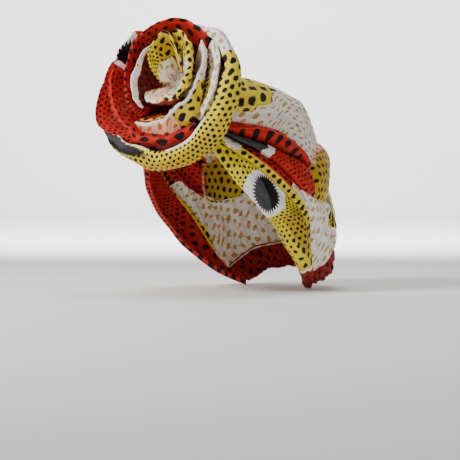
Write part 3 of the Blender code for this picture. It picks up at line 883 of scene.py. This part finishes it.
def ring_cloth(settings):
    """Outer cup of the rosette, rolled in at its rim."""
    across, along = shares(260, 64)
    angle = 190.0 + 360.0 * across
    wide = ring_value(angle, 1)
    rim = ring_value(angle, 2) - 4.2 * ease(212.0, 228.0, angle) * ease(272.0, 252.0, angle)
    rim_up = ring_value(angle, 3)
    floor = ring_value(angle, 4)
    hole = ring_value(angle, 5)
    low = np.minimum(floor + 7.0, -5.0)
    outline = [(np.full_like(wide, 27.0), hole), (np.full_like(wide, 38.0), floor - 0.6),
               (np.full_like(wide, 52.0), floor + 1.5), (wide - 6.5, low),
               (wide + 0.4, np.minimum(-2.0, (low + rim_up) * 0.5 + 2.0)),
               (wide - 1.2, rim_up * 0.5 + 1.0), (0.5 * (wide + rim) + 1.0, rim_up + 0.4),
               (rim + 0.6, rim_up + 0.8), (rim - 1.2, rim_up - 0.6), (rim - 0.6, rim_up - 4.0),
               (rim - 0.2, rim_up - 10.0)]
    knots = np.array([0.0, 0.10, 0.24, 0.36, 0.48, 0.62, 0.75, 0.85, 0.89, 0.93, 1.0])
    radius = np.zeros_like(angle)
    height = np.zeros_like(angle)
    for step in (-1.0, -0.5, 0.0, 0.5, 1.0):
        at = np.clip(along + 0.028 * step * np.clip((1.0 - along) / 0.2, 0.3, 1.0), 0.0, 1.0)
        place = np.clip(np.searchsorted(knots, at, side="right") - 1, 0, len(knots) - 2)
        part = (at - knots[place]) / (knots[place + 1] - knots[place])
        for store, column in ((radius, 0), (height, 1)):
            table = np.stack([row[column] for row in outline])
            first = np.take_along_axis(table, place[None], 0)[0]
            second = np.take_along_axis(table, place[None] + 1, 0)[0]
            store += (first + (second - first) * part) / 5.0
    depth = settings.crease * 1000.0
    body = np.sin(math.pi * np.clip((along - 0.1) / 0.9, 0.0, 1.0)) ** 0.8
    around = np.mod(across, 1.0)
    circle = np.sin(FULL_TURN * (3.0 * around + 0.8 * along))
    circle += 0.6 * np.sin(FULL_TURN * (7.0 * around - 1.1 * along + 0.3))
    circle += 0.4 * np.sin(FULL_TURN * (12.0 * around + 2.2 * along + 0.7))
    radius += 0.75 * depth * circle * body
    height += 0.5 * depth * np.sin(FULL_TURN * (5.0 * around + 0.2)) * along ** 4
    grid = rose_points(angle, radius, height)
    v = from_edge(grid, RING_EDGE)
    unit = 1.13
    spacing = [(190, 7), (262, 5.4), (285, 4.7), (312, 4.8), (335, 5.9), (360, 8.2), (385, 10.5),
               (420, 12), (520, 12), (550, 7)]
    a, b = graded(angle, v, spacing, unit)
    plan = PrintPlan(angle.shape).put("dots", a, b, 0.29 + 0.02 * ease(320.0, 380.0, angle))
    eye_long = (angle - 226.0) * unit / 38.0
    eye_short = (v - 6.5) / 5.6
    # The third column paints the half of the eye near the rim grey, a painted highlight.
    plan.put("eye", eye_short, eye_long,
             ease(0.35, -0.1, eye_short) * ease(246.0, 232.0, angle))
    strip = 3.4 * np.sqrt(np.clip(1.0 - ((angle - 304.0) / 26.0) ** 2, 0.0, 1.0))
    strip += 3.0 * np.clip(1.0 - ((angle - 226.0) / 38.0) ** 2, 0.0, 1.0) ** 0.5
    white = np.where(strip > 0.01, strip - np.abs(v), -3.0)
    behind = np.minimum(between(392.0, 452.0, angle), 26.0 - v)
    plan.put("grounds", None, np.maximum(white, behind), None)
    # Painted shade on the lower side of the ring, growing away from the rim.
    lower = ease(225.0, 250.0, angle) * ease(345.0, 305.0, angle)
    plan.put("weave_and_painted_shade", angle * unit, v + 4.7, 0.6 * lower * ease(3.0, 14.0, v))
    plan.put("plain", ease(1.0, -1.0, behind))
    return grid, plan


def petal_cloth(settings, name, seed):
    """Doubled band of cloth that stands on the knot and folds over at its rim."""
    rows = PETALS[name]
    span = rows[-1][0] - rows[0][0]
    across, along = shares(max(70, int(span)), 50)
    angle = rows[0][0] + span * across
    rim = lookup(rows, angle, 1)
    rim_up = lookup(rows, angle, 2)
    narrow = FOOT.get(name, USUAL_FOOT)
    centre = CENTRE.get(name, (0.0, 0.0))
    foot = narrow * rim
    p = centre[0] + foot * np.cos(np.radians(angle))
    q = centre[1] + foot * np.sin(np.radians(angle))
    bottom = dome_height(np.degrees(np.arctan2(q, p)), np.hypot(p, q)) + 0.6
    depth = settings.crease * 1000.0
    wobble = np.sin(FULL_TURN * (span / 64.0 * across + chance(seed)))
    wobble += 0.5 * np.sin(FULL_TURN * (span / 29.0 * across + chance(seed + 1)))
    wobble += 0.3 * np.sin(FULL_TURN * (span / 13.0 * across + chance(seed + 2)))
    ends = np.clip(4.0 * np.sin(math.pi * across), 0.0, 1.0)
    half = settings.fold * 1000.0 * ROLL[name] * (1.0 + 0.25 * wobble) * (0.4 + 0.6 * ends)
    side = rim + 0.9
    inner = np.clip(along / INNER_END, 0.0, 1.0)
    outer = np.clip((along - OUTER_START) / OUTER_SHARE, 0.0, 1.0)
    turn = math.pi * np.clip((along - INNER_END) / RIM_SHARE, 0.0, 1.0)
    flare = side * (narrow + (1.0 - narrow) * inner ** FLARE) - half * (1.0 + inner)
    out = lookup(COLLARS[name], angle, 1)
    down = lookup(COLLARS[name], angle, 2)
    level = rim_up - half
    radius = np.where(along <= INNER_END, flare, side - half - half * np.cos(turn))
    height = np.where(along <= INNER_END, bottom + (level - bottom) * inner,
                      level + half * np.sin(turn))
    radius += out * np.sin(0.5 * math.pi * outer) ** 1.25 + 0.8 * np.sin(math.pi * outer)
    height -= down * outer ** 1.1
    creases = 1.7 * (pleats(across * span / 60.0, inner - outer, 2.6, seed + 3) - 0.45)
    fine = ripples(across * span / 60.0 + 0.2 * outer, inner - outer, 9.0, seed + 11)
    low = np.where(along <= INNER_END, inner, 1.0 - outer)
    fall = np.sin(math.pi * np.clip(low * 0.82 + 0.09, 0.0, 1.0)) ** 0.7
    fall = np.where(turn * (math.pi - turn) > 0.0, np.minimum(fall, 0.42), fall)
    radius += depth * (creases + 0.35 * fine) * fall
    height += 0.4 * depth * wobble * low ** 3
    grid = rose_points(angle, radius, height, centre)
    v = from_edge(grid, PETAL_EDGE)
    plan = PrintPlan(angle.shape)
    PETAL_PRINTS[name](plan, angle, v)
    if name in CENTRE:
        middle = 0.5 * (rows[0][0] + rows[-1][0])
        even = np.radians(angle - middle) * (0.5 * radius + 13.0)
        plan.put("weave_and_painted_shade", even)
    return grid, plan


def print_petal_tip(plan, angle, v):
    """White with half of the toothed eye."""
    side = (angle - 149.0) * 1.02
    plan.put("grounds", EVERYWHERE, side + 29.0, None)
    # The eye's third column gives it a faint painted highlight.
    plan.put("eye", (side + 6.0) / 21.5, (np.abs(v) - 13.4) / 12.6, 0.05)
    # Faint painted shade over the whole tip.
    plan.put("weave_and_painted_shade", side, v + 4.5, 0.12).put("plain", 1.0)


def print_petal_outer(plan, angle, v):
    """Red with fine dots that crowd together downwards."""
    a, b = graded(angle, v, [(152, 5.6), (178, 5.0), (200, 4.4), (244, 5.6)], 1.12, 1.1)
    plan.put("dots", a, b, 0.25)
    pale = np.minimum(between(140.0, 153.0, angle), v - 1.0)
    plan.put("grounds", EVERYWHERE, pale, None).put("plain", 1.0)
    # Painted shade deep inside the petal and far down its outer layer.
    deep = 0.45 * ease(3.0, 12.0, v) + 0.35 * ease(-2.0, -14.0, v) * ease(196.0, 220.0, angle)
    plan.put("weave_and_painted_shade", angle * 1.12, v + 4.8, deep * ease(153.0, 160.0, angle))


def print_roll_lower(plan, angle, v):
    """Red with fine dots on the left and large ovals along the lower roll."""
    spacing = [(152, 4.6), (205, 4.8), (226, 6.0), (248, 8.5), (270, 12.5), (318, 13.5)]
    a, b = graded(angle, v + 1.5, spacing, 0.87, 1.4)
    plan.put("dots", a, b, 0.24 + 0.06 * ease(240.0, 270.0, angle))
    plan.put("grounds", EVERYWHERE, None, None)
    # Painted shadow under the roll and painted shade deep inside it.
    deep = 0.85 * ease(-3.0, -6.5, v) * ease(238.0, 256.0, angle)
    plan.put("weave_and_painted_shade", angle * 0.87, v + 4.8, np.maximum(deep, 0.5 * ease(2.0, 6.0, v)))


def print_coil_top(plan, angle, v):
    """Red with dots that shrink towards the upper left and grow again down the left."""
    spacing = [(53, 13), (72, 10.5), (92, 9), (106, 5.5), (122, 4.6), (134, 7.5), (150, 9.5),
               (180, 9), (200, 7), (214, 4.5), (228, 4)]
    a, b = graded(angle, v, spacing, 0.92, 1.1)
    plan.put("dots", a, b, 0.27)
    plan.put("grounds", EVERYWHERE, None, None)
    # Painted shade deep inside the coil.
    plan.put("weave_and_painted_shade", angle * 0.92, v, 0.6 * ease(2.0, 8.0, v))


def print_leaf_right(plan, angle, v):
    """White with berries, yellow and black along the slit beside the middle."""
    plan.put("dots", angle * 0.9 / 6.5, v / 10.0, 0.33)
    deep = 17.0 - 8.0 * ease(330.0, 352.0, angle) + 10.0 * ease(366.0, 385.0, angle)
    plan.put("grounds", None, deep - v, None)
    # Faint painted shade deep inside the leaf.
    plan.put("weave_and_painted_shade", angle * 0.9, v + 4.8, 0.10 * ease(4.0, 12.0, v))


def print_petal_rimmed(plan, angle, v):
    """White rim over painted peach shade, yellow with large black dots and painted gold shade on the
    right, then white.
    """
    plan.put("dots", angle * 0.62 / 11.0, (np.abs(v) - 2.0) / 10.0, 0.30)
    under = -v - 2.2
    # The yellow area on the right; its gold comes from the painted shade below.
    gold = np.minimum(between(300.0, 372.0, angle) * 0.62, under)
    streaks = np.minimum(between(226.0, 292.0, angle) * 0.62, v - 2.5)
    plan.put("grounds", np.minimum(streaks, np.abs(v - 8.5) - 2.2),
             0.3 - np.maximum(gold, streaks), None)
    # Painted shade: peach on the turned-down white, gold on the yellow, and deep inside.
    turned = ease(1.6, 3.6, -v)
    tone = turned * (0.95 - 0.85 * ease(345.0, 378.0, angle))
    tone = tone * (1.0 - 0.55 * ease(300.0, 312.0, angle))
    plan.put("weave_and_painted_shade", angle * 0.62, v + 4.8, tone + 0.25 * ease(3.0, 7.0, v))
    plan.put("plain", ease(-2.6, -1.4, v))


def print_coil_rimmed(plan, angle, v):
    """White rim band over red that painted shade darkens in the hollow."""
    a, b = graded(angle, v, [(108, 8), (190, 7), (224, 5)], 0.6, 1.2)
    plan.put("dots", a, b, 0.24)
    wide = 2.2 + 5.4 * np.sin(math.pi * np.clip((angle - 104.0) / 124.0, 0.0, 1.0))
    plan.put("grounds", EVERYWHERE, np.minimum(v + 0.8, wide - v), None).put("plain", 1.0)
    # Painted shade that darkens the red in the hollow.
    hollow = ease(wide - 0.2, wide + 0.4, v) * (1.0 - 0.7 * ease(26.0, 34.0, v))
    plan.put("weave_and_painted_shade", angle * 0.6, v + 1.0, 0.97 * hollow)


def print_bud_outer(plan, angle, v):
    """White with berries, its rim yellow with black dots; painted shade turns the top gold-brown, the
    lower left peach and the red under the rim dark.
    """
    plan.put("dots", angle * 0.52 / 8.6, (v - 0.5) / 8.6, 0.30)
    wide = 5.4 + 16.0 * ease(392.0, 412.0, angle)
    band = np.minimum((angle - 268.0) * 0.5, wide - v)
    under = np.minimum(-v - 1.0, (300.0 - angle) * 0.5)
    plan.put("grounds", under, 0.3 - np.maximum(band, under), None)
    # Painted shade: gold-brown at the top, peach on the lower left, dark on the red under the rim.
    inner = ease(3.0, 5.0, v)
    plan.put("weave_and_painted_shade", angle * 0.52, v + 4.8,
             inner * (0.8 * ease(392.0, 410.0, angle) * ease(12.0, 9.0, v)
                      + 0.55 * ease(300.0, 250.0, angle)) + 0.8 * ease(0.0, 1.0, under))


def print_bud_inner(plan, angle, v):
    """Yellow tongue with a honeycomb of small dots, painted shade turning its top gold, white beside
    it.
    """
    spacing = [(60, 10), (90, 9), (108, 8), (122, 5.4), (140, 3.7), (190, 3.6)]
    a, b = graded(angle, v, spacing, 0.5)
    plan.put("dots", a, b, 0.29)
    slant = np.minimum(v - 26.0 + 0.32 * (angle - 108.0), (angle - 101.0) * 0.5)
    beside = np.minimum(between(40.0, 84.0, angle) * 0.4, v - 11.0)
    plan.put("grounds", None, np.maximum(slant, beside), None)
    # Painted shade that turns the yellow gold at the top.
    gold = ease(2.5, 5.0, v) * ease(86.0, 92.0, angle) * ease(132.0, 118.0, angle)
    gold = gold * ease(0.6, -0.6, slant)
    plan.put("weave_and_painted_shade", angle * 0.45, v + 4.8, 0.7 * gold)


PETAL_PRINTS = {
    "petal_tip": print_petal_tip,
    "petal_outer": print_petal_outer,
    "roll_lower": print_roll_lower,
    "coil_top": print_coil_top,
    "leaf_right": print_leaf_right,
    "petal_rimmed": print_petal_rimmed,
    "coil_rimmed": print_coil_rimmed,
    "bud_outer": print_bud_outer,
    "bud_inner": print_bud_inner,
}
SIDES = (("left", 1.0), ("right", -1.0))
HEAD_MIDDLE = (0.0, 0.0, -SEAT_HEIGHT / 1000.0)


def rose_middle(height):
    """Point on the rosette's axis, in metres."""
    zero = np.array(0.0)
    return tuple(rose_points(zero, zero, np.array(float(height))))


class HeadWrapSettings(bpy.types.PropertyGroup):
    """Sizes of the cloth and strength of the light."""

    wall: bpy.props.FloatProperty(
        name="Cloth wall", description="Thickness of the cotton", default=0.0012, min=0.0004,
        max=0.003, unit="LENGTH")
    crease: bpy.props.FloatProperty(
        name="Crease depth", description="Depth of the creases along the folds",
        default=0.0019, min=0.0, max=0.004, unit="LENGTH")
    fold: bpy.props.FloatProperty(
        name="Rim radius", description="Radius of the folded rim of a rosette petal",
        default=0.0012, min=0.0005, max=0.004, unit="LENGTH")
    key_light: bpy.props.FloatProperty(
        name="Key light", description="Power of the large light", default=15.0, min=0.0,
        unit="POWER")


def ink(name, description, default):
    """Colour property of the print."""
    return bpy.props.FloatVectorProperty(name=name, description=description, default=default,
                                         subtype="COLOR", size=4, min=0.0, max=1.0)


class HeadWrapColours(bpy.types.PropertyGroup):
    """Colours of the print, the darker tones that are painted shade in deep folds, and a grey painted
    highlight.
    """

    yellow: ink("Yellow", "Yellow ground", (0.85, 0.66, 0.0, 1.0))
    # Painted shade: yellow turned gold where the cloth lies in shade.
    yellow_shade: ink("Yellow shade", "Yellow in deep folds", (0.46, 0.21, 0.0, 1.0))
    yellow_halo: ink("Yellow halo", "Edge of a dot on yellow", (0.88, 0.70, 0.10, 1.0))
    red: ink("Red", "Red ground", (0.62, 0.013, 0.003, 1.0))
    # Painted shade: red turned dark maroon.
    red_shade: ink("Red shade", "Red in deep folds", (0.10, 0.002, 0.003, 1.0))
    red_halo: ink("Red halo", "Edge of a dot on red", (0.55, 0.02, 0.012, 1.0))
    white: ink("White", "White ground", (0.95, 0.93, 0.88, 1.0))
    # Painted shade: white turned peach.
    white_shade: ink("White shade", "White in deep folds", (0.83, 0.34, 0.19, 1.0))
    berry: ink("Berry", "Gold berries", (0.62, 0.36, 0.085, 1.0))
    # Painted shade on the berries.
    berry_shade: ink("Berry shade", "Berries in deep folds", (0.44, 0.12, 0.015, 1.0))
    stalk: ink("Stalk", "Stalks between the berries", (0.36, 0.22, 0.11, 1.0))
    black: ink("Black", "Dots and eyes", (0.003, 0.002, 0.003, 1.0))
    # Painted highlight: the grey half of an eye, standing in for light on a fold.
    grey: ink("Grey", "Half of an eye that catches the light", (0.058, 0.052, 0.060, 1.0))
    faded: ink("Faded", "Faint wash over the whole print", (0.95, 0.9, 0.8, 1.0))


class HEADWRAP_OT_cloth(bpy.types.Operator):
    """Make the printed cotton material"""

    bl_idname = "headwrap.cloth"
    bl_label = "Printed cotton"

    def execute(self, context):
        printed_cotton(context.scene.head_wrap_colours)
        return {"FINISHED"}


def both_sides(context, name, make):
    """Make one fold on each side of the wrap."""
    for word, side in SIDES:
        grid, plan = make(context.scene.head_wrap, side)
        full = f"{name}_{word}"
        as_cloth(full + "_cloth", grid, plan, HEAD_MIDDLE, context.scene.head_wrap, [full])


class HEADWRAP_OT_front_bands(bpy.types.Operator):
    """Make the bands along the front edge"""

    bl_idname = "headwrap.front_bands"
    bl_label = "Front bands"

    def execute(self, context):
        both_sides(context, "front_band", front_band)
        return {"FINISHED"}


class HEADWRAP_OT_second_folds(bpy.types.Operator):
    """Make the folds behind the front bands"""

    bl_idname = "headwrap.second_folds"
    bl_label = "Second folds"

    def execute(self, context):
        both_sides(context, "second_fold", second_fold)
        return {"FINISHED"}


class HEADWRAP_OT_third_folds(bpy.types.Operator):
    """Make the tucked folds above them"""

    bl_idname = "headwrap.third_folds"
    bl_label = "Third folds"

    def execute(self, context):
        both_sides(context, "third_fold", third_fold)
        return {"FINISHED"}


class HEADWRAP_OT_upper_bands(bpy.types.Operator):
    """Make the puffed bands beside the crown"""

    bl_idname = "headwrap.upper_bands"
    bl_label = "Upper bands"

    def execute(self, context):
        both_sides(context, "upper_band", upper_band)
        return {"FINISHED"}


class HEADWRAP_OT_crown(bpy.types.Operator):
    """Make the gathered cloth over the top"""

    bl_idname = "headwrap.crown"
    bl_label = "Crown"

    def execute(self, context):
        settings = context.scene.head_wrap
        grid, plan = crown_cloth(settings)
        as_cloth("crown_cloth", grid, plan, HEAD_MIDDLE, settings, ["crown"])
        return {"FINISHED"}


class HEADWRAP_OT_back(bpy.types.Operator):
    """Make the lobe, the drape and the gathers down the back"""

    bl_idname = "headwrap.back"
    bl_label = "Back"

    def execute(self, context):
        settings = context.scene.head_wrap
        for name, make, slot, rests in (
                ("back_puff", back_puff_cloth, "gold_print", "crown_cloth"),
                ("back_drape", back_drape_cloth, "cream_print", "back_puff_cloth"),
                ("nape_gather", nape_cloth, "dark_red_print", "back_drape_cloth")):
            grid, plan = make(settings)
            as_cloth(name + "_cloth", grid, plan, HEAD_MIDDLE, settings, [name])
        return {"FINISHED"}


class HEADWRAP_OT_knot(bpy.types.Operator):
    """Make the wound knot behind the rosette"""

    bl_idname = "headwrap.knot"
    bl_label = "Knot"

    def execute(self, context):
        mesh = bmesh.new()
        bmesh.ops.create_uvsphere(mesh, u_segments=96, v_segments=54, radius=1.0)
        mesh.verts.ensure_lookup_table()
        unit = np.array([tuple(vertex.co) for vertex in mesh.verts])
        angle = np.degrees(np.arctan2(unit[:, 1], unit[:, 0]))
        share = np.clip(1.0 - np.arccos(np.clip(unit[:, 2], -1.0, 1.0)) / math.pi, 0.0, 1.0) * 9.0
        hole = ring_value(angle, 5)
        floor = ring_value(angle, 4)
        stages = [head_points(np.full_like(angle, along), 90.0 - angle,
                              np.full_like(angle, lift))
                  for along, lift in ((0.05, -1.6), (START + 1.0, -1.6), (START + 1.0, 0.6))]
        stages += [rose_points(angle, np.full_like(angle, radius), level)
                   for radius, level in ((20.5, hole + 1.6), (33.0, floor + 2.4),
                                         (38.0, floor + 2.6))]
        for radius in (30.0, 20.0, 10.0, 0.05):
            level = np.full_like(angle, radius)
            stages.append(rose_points(angle, level, dome_height(angle, level)))
        stages = np.stack(stages)
        low = np.clip(share.astype(int), 0, 8)
        part = (share - low)[:, None]
        pick = np.arange(len(angle))
        places = stages[low, pick] * (1.0 - part) + stages[low + 1, pick] * part
        for vertex, place in zip(mesh.verts, places):
            vertex.co = place
        bmesh.ops.recalc_face_normals(mesh, faces=mesh.faces)
        plan = PrintPlan(angle.shape)
        plan.put("dots", angle * 0.5 / 8.0, share * 6.0 / 8.0, 0.3)
        white = np.minimum((share - 6.1) * 10.0, between(0.0, 170.0, angle) * 0.5)
        plan.put("grounds", EVERYWHERE, np.maximum(white, (share - 8.1) * 10.0), None)
        # Painted shade on the red of the knot.
        plan.put("weave_and_painted_shade", share * 7.0 * np.cos(np.radians(angle)),
                 share * 7.0 * np.sin(np.radians(angle)), 0.75 * (white < 0.0))
        piece = printed_piece("knot_cloth", mesh, plan.fields, ["knot"])
        return {"FINISHED"}


class HEADWRAP_OT_ring(bpy.types.Operator):
    """Make the outer cup of the rosette"""

    bl_idname = "headwrap.ring"
    bl_label = "Rosette ring"

    def execute(self, context):
        settings = context.scene.head_wrap
        grid, plan = ring_cloth(settings)
        as_cloth("rosette_ring_cloth", grid, plan, rose_middle(-5.0), settings,
                 ["rosette_ring"])
        return {"FINISHED"}


class HEADWRAP_OT_petals(bpy.types.Operator):
    """Make the coiled petals of the rosette"""

    bl_idname = "headwrap.petals"
    bl_label = "Rosette petals"

    def execute(self, context):
        settings = context.scene.head_wrap
        for place, name in enumerate(PETALS):
            grid, plan = petal_cloth(settings, name, 70 + 5 * place)
            as_cloth(name + "_cloth", grid, plan, rose_middle(-60.0), settings,
                     [name])
        return {"FINISHED"}


class HEADWRAP_OT_stage(bpy.types.Operator):
    """Make the pale backdrop, the soft lights and the camera"""

    bl_idname = "headwrap.stage"
    bl_label = "Stage"

    def execute(self, context):
        scene = context.scene
        azimuth = math.radians(CAMERA_AZIMUTH)
        raised = math.radians(CAMERA_RISE)
        back = Vector((math.sin(azimuth) * math.cos(raised),
                       -math.cos(azimuth) * math.cos(raised), math.sin(raised)))
        mesh = bmesh.new()
        bmesh.ops.create_grid(mesh, x_segments=4, y_segments=60, size=0.5)
        for vertex in mesh.verts:
            far = vertex.co.y + 0.5
            bend = min(max((far - 0.6) / 0.2, 0.0), 1.0) * math.pi / 2.0
            away = 7.0 * min(far, 0.6) - 1.9 + 0.5 * math.sin(bend)
            high = 0.5 * (1.0 - math.cos(bend)) + 8.0 * max(0.0, far - 0.8)
            side = vertex.co.x * 8.0
            level = Vector((-back.x, -back.y, 0.0)).normalized()
            vertex.co = level * away + Vector((level.y, -level.x, 0.0)) * side
            vertex.co.z = high + FLOOR
        bmesh.ops.recalc_face_normals(mesh, faces=mesh.faces)
        data = smooth_mesh("backdrop", mesh)
        backdrop = bpy.data.objects.new("backdrop", data)
        scene.collection.objects.link(backdrop)
        paper = bpy.data.materials.new("paper")
        paper.use_nodes = True
        shader = paper.node_tree.nodes["Principled BSDF"]
        shader.inputs["Base Color"].default_value = (0.94, 0.94, 0.93, 1.0)
        shader.inputs["Roughness"].default_value = 0.9
        data.materials.append(paper)

        world = bpy.data.worlds.new("soft_studio")
        world.use_nodes = True
        glow = world.node_tree.nodes["Background"]
        glow.inputs["Color"].default_value = (1.0, 0.99, 0.98, 1.0)
        glow.inputs["Strength"].default_value = 0.26
        scene.world = world

        target = Vector(CAMERA_AIM)
        right = Vector((math.cos(azimuth), math.sin(azimuth), 0.0))
        power = scene.head_wrap.key_light
        behind = target - back * 2.7 + Vector((0.0, 0.0, 0.62))
        lamps = (("key", target + back * 0.55 - right * 0.85 + Vector((0.0, 0.0, 0.85)), target,
                  0.35, power),
                 ("fill", target + back * 1.1 + right + Vector((0.0, 0.0, 0.25)), target,
                  0.9, power * 0.10),
                 ("top", target - back * 0.15 + Vector((0.0, 0.0, 1.1)), target, 0.5,
                  power * 0.35),
                 ("wash", target - back * 0.9 + Vector((0.0, 0.0, 1.15)), behind, 1.4,
                  power * 6.5))
        for name, place, aim, size, watts in lamps:
            light = bpy.data.lights.new(name, "AREA")
            light.shape = "DISK"
            light.size = size
            light.energy = watts
            lamp = bpy.data.objects.new(name, light)
            lamp.location = place
            lamp.rotation_euler = (place - aim).to_track_quat("Z", "Y").to_euler()
            scene.collection.objects.link(lamp)

        lens = bpy.data.cameras.new("camera")
        lens.lens = CAMERA_LENS
        lens.sensor_width = 36.0
        camera = bpy.data.objects.new("camera", lens)
        camera.location = target + back * CAMERA_DISTANCE
        camera.rotation_euler = back.to_track_quat("Z", "Y").to_euler()
        scene.collection.objects.link(camera)
        scene.camera = camera
        return {"FINISHED"}


class HEADWRAP_PT_panel(bpy.types.Panel):
    """Sidebar panel of the head wrap"""

    bl_idname = "HEADWRAP_PT_panel"
    bl_label = "Head Wrap"
    bl_space_type = "VIEW_3D"
    bl_region_type = "UI"
    bl_category = "Head Wrap"

    def draw(self, context):
        settings = context.scene.head_wrap
        for name in ("wall", "crease", "fold", "key_light"):
            self.layout.prop(settings, name)
        for name in HeadWrapColours.__annotations__:
            self.layout.prop(context.scene.head_wrap_colours, name)
        for operator in OPERATORS:
            self.layout.operator(operator.bl_idname)


OPERATORS = (HEADWRAP_OT_cloth, HEADWRAP_OT_knot, HEADWRAP_OT_front_bands,
             HEADWRAP_OT_second_folds, HEADWRAP_OT_third_folds, HEADWRAP_OT_upper_bands,
             HEADWRAP_OT_crown, HEADWRAP_OT_back, HEADWRAP_OT_ring, HEADWRAP_OT_petals,
             HEADWRAP_OT_stage)
CLASSES = (HeadWrapSettings, HeadWrapColours) + OPERATORS + (HEADWRAP_PT_panel,)


def register():
    """Register the add-on's classes and its settings."""
    for item in CLASSES:
        bpy.utils.register_class(item)
    bpy.types.Scene.head_wrap = bpy.props.PointerProperty(type=HeadWrapSettings)
    bpy.types.Scene.head_wrap_colours = bpy.props.PointerProperty(type=HeadWrapColours)


def unregister():
    """Remove the add-on's settings and classes."""
    del bpy.types.Scene.head_wrap_colours
    del bpy.types.Scene.head_wrap
    for item in reversed(CLASSES):
        bpy.utils.unregister_class(item)


def main():
    """Build every piece and the stage."""
    register()
    for operator in OPERATORS:
        group, name = operator.bl_idname.split(".")
        getattr(getattr(bpy.ops, group), name)()
    bpy.context.view_layer.update()


if __name__ == "__main__":
    main()
